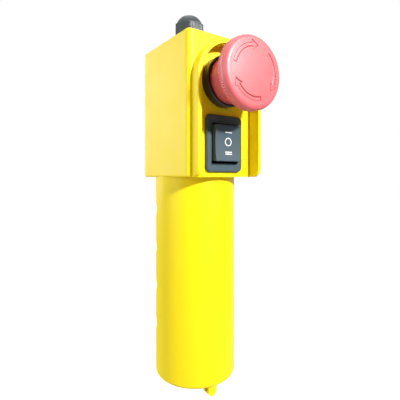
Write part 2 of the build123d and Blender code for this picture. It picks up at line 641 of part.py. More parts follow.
def make_contact_terminals():
    """Two strips: the fixed contact inside, bent back over the block outside."""
    half_h = BLOCK_HEIGHT / 2
    strips = []
    for up in (1, -1):
        inner = BRIDGE_LENGTH / 2 - 3.2
        leg = slab((-3, 3), (Y_FIXED, Y_FIXED + STRIP), (inner, half_h + STRIP))
        tail = slab((-3, 3), (Y_FIXED, Y_TERMINAL), (half_h, half_h + STRIP))
        tail -= Pos(0, Y_FIXED + 7.0, half_h) * Cylinder(1.7, 4)
        strip = fillet((leg + tail).edges().filter_by(Axis.X).group_by(Axis.Z)[-1].sort_by(Axis.Y)[0], 0.7)
        strips.append(Pos(0, 0, Z_ESTOP) * (strip if up > 0 else mirror(strip, Plane.XY)))
    return Compound(children=strips)


def make_contact_screws():
    half_h = BLOCK_HEIGHT / 2
    screws = []
    for up in (1, -1):
        head = Pos(0, 0, half_h + STRIP + 1.0) * Cylinder(3.0, 2.0)
        shank = Pos(0, 0, half_h - 1.6) * Cylinder(1.5, 6.4)
        slot = Pos(0, 0, half_h + STRIP + 2.0) * Box(7, 0.8, 1.6)
        screw = head + shank - slot
        screw = screw if up > 0 else mirror(screw, Plane.XY)
        screws.append(Pos(0, Y_FIXED + 7.0, Z_ESTOP) * screw)
    return Compound(children=screws)


# ---------------------------------------------------------------- rocker switch
def upright(width, height, front, back, corner=0.0):
    """Block centred on the switch, seen from the front, with rounded corners."""
    outline = RectangleRounded(width, height, corner) if corner else Rectangle(width, height)
    return extrude(facing(back) * Pos(0, Z_ROCKER) * outline, back - front)


def make_rocker_frame():
    """Bezel and body in one moulding: the paddle's window, its pivots and two snap wings."""
    bezel = upright(BEZEL_WIDTH, BEZEL_HEIGHT, Y_BEZEL, Y_PANEL, BEZEL_CORNER)
    bezel = chamfer(bezel.faces().sort_by(Axis.Y)[0].edges(), 0.5)
    body = upright(SWITCH_WIDTH, SWITCH_HEIGHT, Y_PANEL - 0.5, Y_PANEL + SWITCH_DEPTH, 0.6)
    window_w = PADDLE_WIDTH + 2 * WINDOW_SIDE_GAP
    window = upright(window_w, PADDLE_HEIGHT + 2 * WINDOW_END_GAP, Y_BEZEL - 1, Y_PANEL + 1)
    inner = upright(SWITCH_WIDTH - 2 * SWITCH_WALL, SWITCH_HEIGHT - 2 * SWITCH_WALL, Y_PANEL + 0.5,
                    Y_PANEL + SWITCH_DEPTH - 2)
    bearing = peg_x(Y_PIVOT, Z_ROCKER, TRUNNION_RADIUS + SLIDE_CLEARANCE, SWITCH_WIDTH / 2)
    frame = bezel + body - window - inner - bearing
    for side in (1, -1):
        for row in (-1, 0, 1):
            x = side * POLE_SPACING / 2
            z = Z_ROCKER + row * BLADE_PITCH
            slot = slab((x - BLADE_WIDTH / 2, x + BLADE_WIDTH / 2), (Y_PANEL, Y_PANEL + SWITCH_DEPTH + 1),
                        (z - STRIP / 2, z + STRIP / 2))
            frame -= slot
        wing = Plane.YZ * make_face(Polyline(
            (Y_PANEL_BACK + 0.1, 0.0), (Y_PANEL_BACK + 0.1, 1.3), (Y_PANEL_BACK + 7, 0.0), close=True))
        wing = extrude(wing, 5, both=True)
        wing = Pos(0, 0, SWITCH_HEIGHT / 2 - 0.05) * wing
        wing = wing if side > 0 else mirror(wing, Plane.XY)
        frame += Pos(0, 0, Z_ROCKER) * wing
    return frame


def make_rocker_paddle():
    """Paddle with a hollowed face, trunnions and a web that holds the two contact pins."""
    half = PADDLE_HEIGHT / 2
    end = Y_BEZEL - PADDLE_PROUD
    face = ThreePointArc((end, -half), (end + PADDLE_HOLLOW, 0), (end, half))
    skirt = Y_PIVOT + PADDLE_SKIRT
    sides = Polyline((end, half), (skirt, half - 1.2), (skirt, -half + 1.2), (end, -half))
    profile = Plane.YZ * make_face(face + sides)
    body = Pos(0, 0, Z_ROCKER) * extrude(profile, PADDLE_WIDTH / 2, both=True)
    body = fillet(body.edges().filter_by(Axis.X).sort_by(Axis.Y)[:2], 0.5)
    hollow = upright(PADDLE_WIDTH - 3.2, PADDLE_HEIGHT - 5.6, Y_PIVOT - 3.0, skirt + 1)
    web = upright(PADDLE_WIDTH - 2.0, 6.0, Y_PIVOT - 3.2, Y_PIVOT + 7.5)
    trunnions = peg_x(Y_PIVOT, Z_ROCKER, TRUNNION_RADIUS, SWITCH_WIDTH / 2 - 0.3)
    paddle = body - hollow + web + trunnions
    for side in (1, -1):
        x = side * POLE_SPACING / 2
        paddle -= peg_y(x, Z_ROCKER, PIN_RADIUS + SLIDE_CLEARANCE, Y_PIVOT + 1.5, Y_PIVOT + 9)
    return paddle


def make_rocker_pins():
    """Round-nosed pins that press on the contact levers."""
    pins = []
    for side in (1, -1):
        x = side * POLE_SPACING / 2
        pin = peg_y(x, Z_ROCKER, PIN_RADIUS, Y_PIVOT + 4.6, Y_PIVOT + PIN_TIP)
        pins.append(chamfer(pin.edges().sort_by(Axis.Y)[-1], 0.8))
    return Compound(children=pins)


def make_rocker_springs():
    springs = []
    for side in (1, -1):
        spring = Rot(90, 0, 0) * coil(PIN_RADIUS - 0.35, 0.4, 2.9, 3)
        springs.append(Pos(side * POLE_SPACING / 2, Y_PIVOT + 4.5, Z_ROCKER) * spring)
    return Compound(children=springs)


Y_LEVER = Y_PIVOT + PIN_TIP + 0.3
Y_RIB = Y_LEVER + STRIP     # axis the levers rock on
Y_CRADLE = Y_RIB + 0.25
Y_BLADE_END = Y_PANEL + SWITCH_DEPTH + BLADE_LENGTH


def make_rocker_levers():
    """See-saw contacts: a strip with both ends bent up, rocking on a round rib."""
    levers = []
    half = LEVER_LENGTH / 2
    for side in (1, -1):
        x = side * POLE_SPACING / 2
        bar = slab((x - LEVER_WIDTH / 2, x + LEVER_WIDTH / 2), (Y_LEVER, Y_LEVER + STRIP), (-half, half))
        for up in (1, -1):
            tab0, tab1 = sorted((up * (half - 0.6), up * half))
            bar += slab((x - LEVER_WIDTH / 2, x + LEVER_WIDTH / 2),
                        (Y_LEVER - 1.2, Y_LEVER + 0.2), (tab0, tab1))
        bar += Pos(x, 0, 0) * peg_x(Y_RIB, 0, LEVER_RIB, LEVER_WIDTH / 2)
        levers.append(Pos(0, 0, Z_ROCKER) * bar)
    return Compound(children=levers)


def make_rocker_terminals():
    """Blades through the switch's back: the centre ones carry the levers, the outer ones are contacts."""
    blades = []
    back = Y_BLADE_END
    cradle = peg_x(Y_RIB, 0, LEVER_RIB + 0.25, SWITCH_WIDTH)
    for side in (1, -1):
        x = side * POLE_SPACING / 2
        for row in (-1, 0, 1):
            front = Y_CRADLE if row == 0 else Y_CRADLE + 0.9
            blade = slab((x - BLADE_WIDTH / 2, x + BLADE_WIDTH / 2), (front, back), (-STRIP / 2, STRIP / 2))
            blade = chamfer(blade.edges().filter_by(Axis.Z).sort_by(Axis.Y)[-2:], 1.0)
            blade -= Pos(x, back - 3.2, 0) * Cylinder(0.8, 2)
            blade -= cradle
            blades.append(Pos(0, 0, Z_ROCKER + row * BLADE_PITCH) * blade)
    return Compound(children=blades)


# ---------------------------------------------------------------- capacitor
Y_JUMPER = Y_BLADE_END + WIRE_BEND
Z_TAG = Z_CAN + CAN_LENGTH + 9.5    # tip of the capacitor's blades


def make_capacitor_can():
    """Moulded capacitor case with a raised rim around its terminals."""
    can = Pos(0, Y_GRIP, Z_CAN) * Cylinder(
        CAN_RADIUS, CAN_LENGTH, align=(Align.CENTER, Align.CENTER, Align.MIN))
    can = chamfer(can.edges().sort_by(Axis.Z)[0], 1.2)
    dish = Pos(0, Y_GRIP, Z_CAN + CAN_LENGTH) * Cylinder(CAN_RADIUS - 1.5, 3.0)
    return can - dish


def make_capacitor_blades():
    blades = []
    base = Z_CAN + CAN_LENGTH - 1.5
    for side in (1, -1):
        x = side * POLE_SPACING / 2
        blade = slab((x - 3.1, x + 3.1), (-STRIP / 2, STRIP / 2), (base, Z_TAG))
        blade = chamfer(blade.edges().filter_by(Axis.Y).sort_by(Axis.Z)[-2:], 1.2)
        blade -= Pos(x, 0, Z_TAG - 3.5) * Rot(90, 0, 0) * Cylinder(0.9, 3)
        blades.append(Pos(0, Y_JUMPER, 0) * blade)
    return Compound(children=blades)


# ---------------------------------------------------------------- jumper wires
def wire(bend, *points):
    """Insulated wire along straight runs with rounded bends."""
    path = FilletPolyline(*points, radius=bend)
    return sweep(Plane(origin=path @ 0, z_dir=path % 0) * Circle(WIRE_RADIUS), path=path)


def make_capacitor_wire(side):
    """From a lower blade of the switch straight down to the capacitor."""
    x = side * POLE_SPACING / 2
    z = Z_ROCKER - BLADE_PITCH
    return wire(WIRE_BEND - 0.1, (x, Y_BLADE_END, z), (x, Y_JUMPER, z), (x, Y_JUMPER, Z_TAG))


def make_stop_wire():
    """From the contact block's lower terminal back and round to an upper blade of the switch."""
    z = Z_ESTOP - BLOCK_HEIGHT / 2 - STRIP / 2
    loop = Y_TERMINAL + 3
    x = POLE_SPACING / 2
    low = Z_ROCKER + BLADE_PITCH
    return wire(2.2, (0, Y_TERMINAL, z), (0, loop, z), (x, loop, low), (x, Y_BLADE_END, low))


# ---------------------------------------------------------------- export
def main():
    os.makedirs("parts", exist_ok=True)
    outer = outer_form()
    hollow = cavity()
    for relief in scoop_reliefs():
        hollow -= relief
    pieces = {
        "front_shell": make_front_shell(outer, hollow),
        "rear_shell": make_rear_shell(outer, hollow),
        "housing_screws": make_housing_screws(),
        "gland_body": make_gland_body(),
        "gland_washer": make_gland_washer(),
        "gland_lock_nut": make_gland_lock_nut(),
        "gland_seal": make_gland_seal(),
        "gland_dome_nut": make_gland_dome_nut(),
        "estop_cap": make_estop_cap(),
        "estop_spindle": make_estop_spindle(),
        "estop_clip": make_estop_clip(),
        "estop_collar": make_estop_collar(),
        "estop_seal": make_estop_seal(),
        "estop_lock_nut": make_estop_lock_nut(),
        "estop_spring": make_estop_spring(),
        "contact_housing": make_contact_housing(),
        "contact_plunger": make_contact_plunger(),
        "contact_bridge": make_contact_bridge(),
        "contact_spring": make_contact_spring(),
        "contact_terminals": make_contact_terminals(),
        "contact_screws": make_contact_screws(),
        "rocker_frame": make_rocker_frame(),
        "rocker_paddle": make_rocker_paddle(),
        "rocker_pins": make_rocker_pins(),
        "rocker_springs": make_rocker_springs(),
        "rocker_levers": make_rocker_levers(),
        "rocker_terminals": make_rocker_terminals(),
        "capacitor_can": make_capacitor_can(),
        "capacitor_blades": make_capacitor_blades(),
        "wire_brown": make_capacitor_wire(-1),
        "wire_blue": make_capacitor_wire(1),
        "wire_black": make_stop_wire(),
    }
    for name, piece in pieces.items():
        export_step(piece, f"parts/{name}.step")


main()
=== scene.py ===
import json
import math

import bpy
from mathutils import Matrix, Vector


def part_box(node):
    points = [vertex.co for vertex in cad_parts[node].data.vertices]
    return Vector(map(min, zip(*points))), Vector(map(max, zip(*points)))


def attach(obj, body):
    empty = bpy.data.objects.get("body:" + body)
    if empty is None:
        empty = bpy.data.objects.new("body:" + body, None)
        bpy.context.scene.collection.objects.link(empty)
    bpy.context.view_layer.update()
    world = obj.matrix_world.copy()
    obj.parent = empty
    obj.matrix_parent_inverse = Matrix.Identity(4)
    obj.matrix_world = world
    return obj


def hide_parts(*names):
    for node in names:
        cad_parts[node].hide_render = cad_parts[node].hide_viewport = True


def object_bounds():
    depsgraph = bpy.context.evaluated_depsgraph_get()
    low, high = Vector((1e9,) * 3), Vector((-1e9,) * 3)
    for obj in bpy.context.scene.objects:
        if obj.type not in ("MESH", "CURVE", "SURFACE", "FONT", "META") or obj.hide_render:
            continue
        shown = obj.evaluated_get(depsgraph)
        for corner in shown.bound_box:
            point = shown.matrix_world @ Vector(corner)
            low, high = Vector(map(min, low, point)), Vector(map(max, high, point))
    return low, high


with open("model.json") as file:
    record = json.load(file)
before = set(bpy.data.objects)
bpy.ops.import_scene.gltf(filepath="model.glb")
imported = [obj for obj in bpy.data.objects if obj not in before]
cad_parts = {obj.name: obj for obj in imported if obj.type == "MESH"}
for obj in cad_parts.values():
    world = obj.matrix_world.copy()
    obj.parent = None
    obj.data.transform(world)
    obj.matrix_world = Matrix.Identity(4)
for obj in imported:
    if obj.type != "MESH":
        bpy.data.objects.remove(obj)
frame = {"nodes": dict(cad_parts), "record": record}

# Looks of the pendant control station: materials for every CAD node, the
# ribbed and engraved stop mushroom, the printed marks of the rocker, studio
# light and the camera. Metres, in the CAD frame; MM turns millimetres
# into metres.
MM = 0.001
cad_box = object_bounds()
nodes = frame["nodes"]


# ---------------------------------------------------------------- materials
# Most of a noise texture's values lie between these two.
NOISE_LOW, NOISE_HIGH = 0.3, 0.7
# The colour sockets of a Mix node, which share their names with other sockets.
MIX_FIRST, MIX_SECOND, MIX_RESULT = 6, 7, 2


class Shader:
    """One node material: a Principled shader and short ways to feed it."""

    def __init__(self, name):
        self.material = bpy.data.materials.new(name)
        self.material.use_nodes = True
        self.tree = self.material.node_tree
        self.bsdf = self.tree.nodes["Principled BSDF"]
        self.where = self.add("ShaderNodeTexCoord").outputs["Object"]

    def add(self, kind, **settings):
        node = self.tree.nodes.new(kind)
        for key, value in settings.items():
            setattr(node, key, value)
        return node

    def link(self, source, target):
        self.tree.links.new(source, target)

    def set(self, **values):
        """Constant sockets of the shader, by name with _ for spaces."""
        for key, value in values.items():
            self.bsdf.inputs[key.replace("_", " ")].default_value = value

    def noise(self, size, detail=3.0, roughness=0.5):
        """Noise whose features are about size metres."""
        node = self.add("ShaderNodeTexNoise")
        node.inputs["Scale"].default_value = 1.0 / size
        node.inputs["Detail"].default_value = detail
        node.inputs["Roughness"].default_value = roughness
        self.link(self.where, node.inputs["Vector"])
        return node.outputs["Fac"]

    def spread(self, value, low, high):
        """Maps the usual values of a noise to the range low..high."""
        node = self.add("ShaderNodeMapRange")
        node.inputs["From Min"].default_value = NOISE_LOW
        node.inputs["From Max"].default_value = NOISE_HIGH
        node.inputs["To Min"].default_value = low
        node.inputs["To Max"].default_value = high
        self.link(value, node.inputs["Value"])
        return node.outputs["Result"]

    def mix(self, factor, first, second):
        """Colour between the colours first and second."""
        node = self.add("ShaderNodeMix", data_type="RGBA")
        self.link(factor, node.inputs["Factor"])
        node.inputs[MIX_FIRST].default_value = (*first, 1.0)
        node.inputs[MIX_SECOND].default_value = (*second, 1.0)
        return node.outputs[MIX_RESULT]

    def math(self, operation, first, second):
        """Result of a Math node; first is a socket, second a socket or a number."""
        node = self.add("ShaderNodeMath", operation=operation)
        self.link(first, node.inputs[0])
        if isinstance(second, float):
            node.inputs[1].default_value = second
        else:
            self.link(second, node.inputs[1])
        return node.outputs[0]

    def colour(self, socket):
        self.link(socket, self.bsdf.inputs["Base Color"])

    def roughness(self, socket):
        self.link(socket, self.bsdf.inputs["Roughness"])

    def bump(self, *layers):
        """Bump from (height socket, depth in metres) layers, one on another."""
        normal = None
        for height, depth in layers:
            node = self.add("ShaderNodeBump")
            node.inputs["Strength"].default_value = 1.0
            node.inputs["Distance"].default_value = depth
            self.link(height, node.inputs["Height"])
            if normal is not None:
                self.link(normal, node.inputs["Normal"])
            normal = node.outputs["Normal"]
        self.link(normal, self.bsdf.inputs["Normal"])


PLASTIC_WEAR = 0.1          # how much rougher the rubbed patches are


def moulded_plastic(name, light, dark, rough, grain=0.006 * MM, spot=18 * MM,
                    coat=0.0, glow=0.0, shine=0.5):
    """Injection-moulded plastic: cloudy colour, fine orange peel, rubbed patches.

    light, dark  the two colours of the clouds, which are about spot metres wide
    grain        depth of the orange peel
    coat, shine  weight of the clear coat, and level of the plastic's own gloss
    glow         share of the light that goes through the surface
    """
    s = Shader(name)
    s.colour(s.mix(s.noise(spot, 4.0), light, dark))
    s.roughness(s.spread(s.noise(9 * MM, 5.0, 0.65), rough - PLASTIC_WEAR / 2,
                         rough + PLASTIC_WEAR))
    s.bump((s.noise(0.9 * MM, 2.0), grain), (s.noise(7 * MM, 2.0), 3 * grain))
    s.set(IOR=1.5, Coat_Weight=coat, Coat_Roughness=0.3, Specular_IOR_Level=shine)
    if glow:
        s.set(Subsurface_Weight=glow, Subsurface_Radius=(2.0 * MM, 1.2 * MM, 0.25 * MM))
    return s.material


def metal(name, light, dark, rough):
    """Plated or rolled metal with fine streaks."""
    s = Shader(name)
    s.colour(s.mix(s.noise(3 * MM, 4.0), light, dark))
    s.roughness(s.spread(s.noise(1.5 * MM, 5.0, 0.7), rough - 0.06, rough + 0.12))
    s.bump((s.noise(0.25 * MM, 3.0), 0.004 * MM))
    s.set(Metallic=1.0)
    return s.material


def rubber(name, light, dark):
    """Dull moulded rubber."""
    s = Shader(name)
    s.colour(s.mix(s.noise(4 * MM, 4.0), light, dark))
    s.roughness(s.spread(s.noise(2 * MM, 4.0), 0.6, 0.85))
    s.bump((s.noise(0.3 * MM, 3.0), 0.01 * MM))
    s.set(IOR=1.45)
    return s.material


def printed(name, light, dark):
    """Pad-printed ink with a slightly uneven film."""
    s = Shader(name)
    s.colour(s.mix(s.noise(0.8 * MM, 3.0), light, dark))
    s.roughness(s.spread(s.noise(0.5 * MM, 3.0), 0.35, 0.55))
    s.bump((s.noise(0.15 * MM, 2.0), 0.003 * MM))
    return s.material


def ribbed_nylon(name, light, dark, count, low, high):
    """Nylon with count upright ribs round the gland's axis, between two heights."""
    s = Shader(name)
    s.colour(s.mix(s.noise(9 * MM, 3.0), light, dark))
    s.roughness(s.spread(s.noise(5 * MM, 4.0), 0.38, 0.50))
    place = s.add("ShaderNodeSeparateXYZ")
    s.link(s.where, place.inputs[0])
    angle = s.math("ARCTAN2", place.outputs["Y"], place.outputs["X"])
    around = s.math("MULTIPLY", angle, float(count))
    node = s.add("ShaderNodeMath", operation="SINE")
    s.link(around, node.inputs[0])
    wave = node.outputs[0]
    above = s.math("GREATER_THAN", place.outputs["Z"], low)
    below = s.math("LESS_THAN", place.outputs["Z"], high)
    ribs = s.math("MULTIPLY", wave, s.math("MULTIPLY", above, below))
    s.bump((s.noise(0.8 * MM, 2.0), 0.006 * MM), (ribs, 0.04 * MM))
    s.set(IOR=1.5, Coat_Weight=0.15, Coat_Roughness=0.2)
    return s.material


NYLON_LIGHT = (0.034, 0.050, 0.056)
NYLON_DARK = (0.027, 0.040, 0.045)

YELLOW = moulded_plastic("yellow_abs", (0.97, 0.75, 0.003), (0.95, 0.73, 0.002), 0.44,
                         grain=0.004 * MM, spot=30 * MM, coat=0.12, glow=0.04, shine=0.25)
RED = moulded_plastic("red_abs", (0.72, 0.112, 0.125), (0.69, 0.102, 0.115), 0.50,
                      coat=0.25, glow=0.03, shine=1.0)
# Dark red painted onto the faces inside the arrow grooves as painted shade, not a colour the cap
# has.
GROOVE_PAINTED_SHADE = moulded_plastic("red_painted_groove_shade", (0.30, 0.010, 0.030), (0.24, 0.008, 0.024), 0.6)
BLACK = moulded_plastic("black_abs", (0.062, 0.096, 0.118), (0.054, 0.085, 0.106), 0.42,
                        coat=0.1, shine=0.35)
COLLAR = moulded_plastic("collar_abs", (0.022, 0.022, 0.024), (0.015, 0.015, 0.017), 0.32,
                         coat=0.3)
NYLON = moulded_plastic("black_nylon", NYLON_LIGHT, NYLON_DARK, 0.38, shine=0.4)
GREY = moulded_plastic("grey_abs", (0.36, 0.37, 0.39), (0.30, 0.31, 0.33), 0.42)
WHITE = moulded_plastic("white_case", (0.84, 0.84, 0.81), (0.76, 0.76, 0.73), 0.4)
STEEL = metal("zinc_steel", (0.66, 0.67, 0.70), (0.50, 0.50, 0.52), 0.30)
BRASS = metal("brass", (0.85, 0.66, 0.30), (0.66, 0.48, 0.20), 0.27)
RUBBER = rubber("black_rubber", (0.030, 0.030, 0.031), (0.018, 0.018, 0.019))
BROWN_PVC = moulded_plastic("brown_pvc", (0.20, 0.075, 0.030), (0.16, 0.060, 0.024), 0.35)
BLUE_PVC = moulded_plastic("blue_pvc", (0.030, 0.10, 0.45), (0.024, 0.08, 0.38), 0.35)
BLACK_PVC = moulded_plastic("black_pvc", (0.025, 0.025, 0.027), (0.018, 0.018, 0.020), 0.35)
MARK = printed("white_ink", (0.88, 0.89, 0.90), (0.80, 0.81, 0.82))

FINISHES = {
    "yellow": YELLOW, "red": RED, "black_gloss": BLACK, "black_nylon": NYLON,
    "grey_plastic": GREY, "white_plastic": WHITE, "rubber": RUBBER,
    "steel": STEEL, "brass": BRASS,
    "wire_brown": BROWN_PVC, "wire_blue": BLUE_PVC, "wire_black": BLACK_PVC,
}

# The dome nut's ribs: how many, and how far they keep from its lower and upper end.
GLAND_RIBS = 54
GLAND_RIBS_FROM = 1.0 * MM
GLAND_RIBS_SHORT_OF = 5.6 * MM

# Width of the rounding on each moulded piece's hard edges, in mm.
SOFT_EDGES = {
    "front_shell": 0.25, "rear_shell": 0.25, "rocker_frame": 0.2, "rocker_paddle": 0.2,
    "gland_dome_nut": 0.2, "gland_body": 0.15, "estop_collar": 0.12,
}
HARD_EDGE_ANGLE = math.radians(32)


def dress_nodes():
    """Every CAD node takes the material of its slot; moulded ones get softened edges."""
    for part in frame["record"]["subparts"]:
        node = nodes[part["node"]]
        node.data.materials.clear()
        node.data.materials.append(FINISHES[part["material_slot"]])
    low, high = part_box("gland_dome_nut")
    ribbed = ribbed_nylon("ribbed_nylon", NYLON_LIGHT, NYLON_DARK, GLAND_RIBS,
                          low.z + GLAND_RIBS_FROM, high.z - GLAND_RIBS_SHORT_OF)
    nodes["gland_dome_nut"].data.materials[0] = ribbed
    nodes["estop_collar"].data.materials[0] = COLLAR
    for name, width in SOFT_EDGES.items():
        bevel = nodes[name].modifiers.new("soft_edges", "BEVEL")
        bevel.width = width * MM
        bevel.segments = 2
        bevel.limit_method = "ANGLE"
        bevel.angle_limit = HARD_EDGE_ANGLE
        bevel.harden_normals = False


# ---------------------------------------------------------------- mesh helpers
def mesh_object(name, points, faces, material, smooth=True):
    """A new object of one material, linked into the scene."""
    mesh = bpy.data.meshes.new(name)
    mesh.from_pydata(points, [], faces)
    mesh.update()
    for polygon in mesh.polygons:
        polygon.use_smooth = smooth
    piece = bpy.data.objects.new(name, mesh)
    piece.data.materials.append(material)
    bpy.context.scene.collection.objects.link(piece)
    return piece


# ---------------------------------------------------------------- stop mushroom
# Lengths in mm, measured from the crown of the face; RADIUS is from the axis.
CAP_SEGMENTS = 768
CAP_RIBS = 96
RIB_DEPTH = 0.32
RIB_FADE = 0.35             # how soon a rib reaches its full depth along the rim
FACE_RADIUS = 16.0
FACE_CROWN = 0.8
FACE_CENTRE_RADII = (0.5, 4.0, 7.5)
BAND_START = 9.6            # fine rows of points begin here, to carry the arrows
BAND_STEP = 0.13
BAND_ROWS = 50
BAND_END = 16.1
ROLL = 3.6
ROLL_SQUARENESS = 2.7       # 2 would be round
ROLL_STEPS = 18
RIM_WIDTH = 2.2
RIM_STEPS = 8
BACK_BEVEL = 0.9
NECK_RADIUS = 13.2
NECK_BORE = 11.6
NECK_STEPS = 6
HUB_BORE = 5.2
CAP_WALL = 2.0              # from the end of the roll's depth to the ceiling inside

ARROW_RADIUS = 13.85
ARROW_HALF_WIDTH = 0.95
ARROW_HEAD_HALF_WIDTH = 2.4
ARROW_BODY = 70.0           # degrees
ARROW_LENGTH = 85.0         # degrees
GROOVE_DEPTH = 0.2
GROOVE_HALF_WIDTH = 0.05
GROOVE_BOLD_WIDTH = 0.30    # added to the half width where the outline is boldest
GROOVE_SIDE = 0.14          # width of a groove's sloping side
GROOVE_OVERLAP = 0.06
# Faces whose four corners lie this deep in a groove take the dark red painted shade.
GROOVE_PAINTED_SHADE_SUM = 1.6          # a face is dark where its four corners' depths add up to this
# Each arrow's tail in degrees, turning clockwise from there, and how boldly each side of its outline
# is cut, which also sets how wide
# a band of painted shade it carries: inner side, inner barb, inner head, outer head, outer barb,
# outer side, tail.
ARROWS = (
    (167.0, (0.45, 0.15, 0.15, 1.0, 0.15, 0.10, 0.15)),
    (48.0, (0.15, 0.20, 0.50, 0.30, 0.20, 1.0, 0.30)),
    (-74.0, (1.0, 0.15, 1.0, 0.15, 0.15, 0.15, 0.9)),
)


def arrow_edges():
    """The outline of one arrow, unrolled: lengths along its arc and across it, in mm."""
    neck = math.radians(ARROW_BODY) * ARROW_RADIUS
    tip = math.radians(ARROW_LENGTH) * ARROW_RADIUS
    a, b = ARROW_HALF_WIDTH, ARROW_HEAD_HALF_WIDTH
    corners = [(0, -a), (neck, -a), (neck, -b), (tip, 0), (neck, b), (neck, a), (0, a)]
    following = corners[1:] + corners[:1]
    return [(*start, *end) for start, end in zip(corners, following)]


ARROW_EDGES = arrow_edges()


def arrow_cut(radius, angle):
    """How deep the engraving is at a point of the cap's face, from 0 to 1."""
    deepest = 0.0
    across = radius - ARROW_RADIUS
    for tail, boldness in ARROWS:
        turn = (tail - angle) % 360.0
        turn = turn - 360.0 if turn > 300.0 else turn
        along = math.radians(turn) * ARROW_RADIUS
        for (x0, y0, x1, y1), bold in zip(ARROW_EDGES, boldness):
            dx, dy = x1 - x0, y1 - y0
            t = ((along - x0) * dx + (across - y0) * dy) / (dx * dx + dy * dy)
            t = min(1.0, max(0.0, t))
            away = math.hypot(along - x0 - t * dx, across - y0 - t * dy)
            half_width = GROOVE_HALF_WIDTH + GROOVE_BOLD_WIDTH * bold
            depth = (half_width + GROOVE_OVERLAP - away) / GROOVE_SIDE
            deepest = max(deepest, min(1.0, depth))
    return deepest


def line_points(start, end, count):
    """count points on the way from start, which is left out, to end."""
    return [(start[0] + (end[0] - start[0]) * i / count,
             start[1] + (end[1] - start[1]) * i / count)
            for i in range(1, count + 1)]


def face_depth(radius):
    """How far the crowned face lies behind its middle, at a radius."""
    return FACE_CROWN * (radius / FACE_RADIUS) ** 2


def cap_profile(radius, neck_depth):
    """Outline of the cap as (radius, depth) in mm, and the rows where the ribs begin and end."""
    face = [(r, face_depth(r)) for r in FACE_CENTRE_RADII]
    band_radii = [BAND_START + BAND_STEP * i for i in range(BAND_ROWS)]
    band = [(r, face_depth(r)) for r in band_radii]
    power = 2 / ROLL_SQUARENESS
    turns = [math.radians(90 * i / ROLL_STEPS) for i in range(ROLL_STEPS + 1)]
    roll = [(radius - ROLL + ROLL * math.sin(a) ** power,
             FACE_CROWN + ROLL * (1 - math.cos(a) ** power))
            for a in turns]
    front_edge = FACE_CROWN + ROLL
    back_edge = front_edge + RIM_WIDTH
    ribs = line_points((radius, front_edge), (radius, back_edge), RIM_STEPS)
    bevel_end = back_edge + BACK_BEVEL
    back = [(radius - 0.3, back_edge + 0.35), (radius - 0.7, back_edge + 0.7),
            (radius - 1.2, bevel_end), (15.0, bevel_end + 0.05), (14.2, bevel_end + 0.15),
            (13.5, bevel_end + 0.55), (NECK_RADIUS, bevel_end + 1.3)]
    neck = line_points(back[-1], (NECK_RADIUS, neck_depth), NECK_STEPS)
    ceiling = ROLL + CAP_WALL
    inner = [(NECK_BORE, neck_depth), (NECK_BORE, ceiling), (HUB_BORE, ceiling)]
    first_rib = len(face) + len(band) + len(roll) - 1
    last_rib = first_rib + len(ribs)
    return face + band + roll + ribs + back + neck + inner, first_rib, last_rib


def make_mushroom():
    """The red cap: crowned face with engraved arrows whose grooves carry painted shade, rolled edge,
    ribbed rim, neck.
    """
    low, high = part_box("estop_cap")
    centre_x = (low.x + high.x) / 2
    centre_z = (low.z + high.z) / 2
    front = low.y / MM
    radius = (high.x - low.x) / 2 / MM
    profile, first_rib, last_rib = cap_profile(radius, high.y / MM - front)
    points = []
    cut = []
    for row, (r, depth) in enumerate(profile):
        fade = 0.0
        if first_rib <= row <= last_rib:
            along_rim = (row - first_rib) / (last_rib - first_rib)
            fade = math.sin(math.pi * along_rim) ** RIB_FADE
        has_arrows = BAND_START < r < BAND_END and depth < 1.0
        for k in range(CAP_SEGMENTS):
            angle = 360.0 * k / CAP_SEGMENTS
            groove = arrow_cut(r, angle) if has_arrows else 0.0
            wave = 0.5 - 0.5 * math.cos(math.tau * CAP_RIBS * k / CAP_SEGMENTS)
            local = r - fade * RIB_DEPTH * wave
            a = math.radians(angle)
            points.append((centre_x + local * math.cos(a) * MM,
                           (front + depth + GROOVE_DEPTH * groove) * MM,
                           centre_z + local * math.sin(a) * MM))
            cut.append(groove)
    faces = []
    in_painted_groove_shade = []
    last_row = len(profile) - 1
    for row in range(last_row):
        here = row * CAP_SEGMENTS
        there = here + CAP_SEGMENTS
        for k in range(CAP_SEGMENTS):
            n = (k + 1) % CAP_SEGMENTS
            quad = (here + k, here + n, there + n, there + k)
            faces.append(quad)
            in_painted_groove_shade.append(sum(cut[i] for i in quad) > GROOVE_PAINTED_SHADE_SUM)
    for row, flip in ((0, True), (last_row, False)):
        fan = tuple(row * CAP_SEGMENTS + k for k in range(CAP_SEGMENTS))
        faces.append(fan[::-1] if flip else fan)
        in_painted_groove_shade.append(False)
    piece = mesh_object("stop_mushroom", points, faces, RED)
    # Faces deep in a groove get the second material, the dark red painted shade.
    piece.data.materials.append(GROOVE_PAINTED_SHADE)
    for polygon, dark in zip(piece.data.polygons, in_painted_groove_shade):
        polygon.material_index = 1 if dark else 0
    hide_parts("estop_cap")
    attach(piece, "estop_knob")


# ---------------------------------------------------------------- rocker marks
MARK_LIFT = 0.03 * MM       # how far the ink stands in front of the paddle's face
MARK_SINK = 0.10 * MM       # and how far it reaches into it
PADDLE_MIDDLE = 2.8 * MM    # the middle of the paddle's face in front of the bezel
PADDLE_HALF_HEIGHT = 10.3 * MM
PADDLE_HOLLOW = 1.2 * MM
BAR_STEPS = 6
BAR_MIDDLE = 0.9            # length of a bar's middle line, as a share of the bar's
RING_STEPS = 48


def paddle_face_depth(z):
    """Y of the paddle's hollowed face at height z, reckoned from the bezel's front."""
    bezel_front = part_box("rocker_frame")[0].y
    low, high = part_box("rocker_paddle")
    middle = (low.z + high.z) / 2
    bend = (PADDLE_HALF_HEIGHT**2 + PADDLE_HOLLOW**2) / (2 * PADDLE_HOLLOW)
    return bezel_front - PADDLE_MIDDLE - (bend - math.sqrt(bend**2 - (z - middle) ** 2))


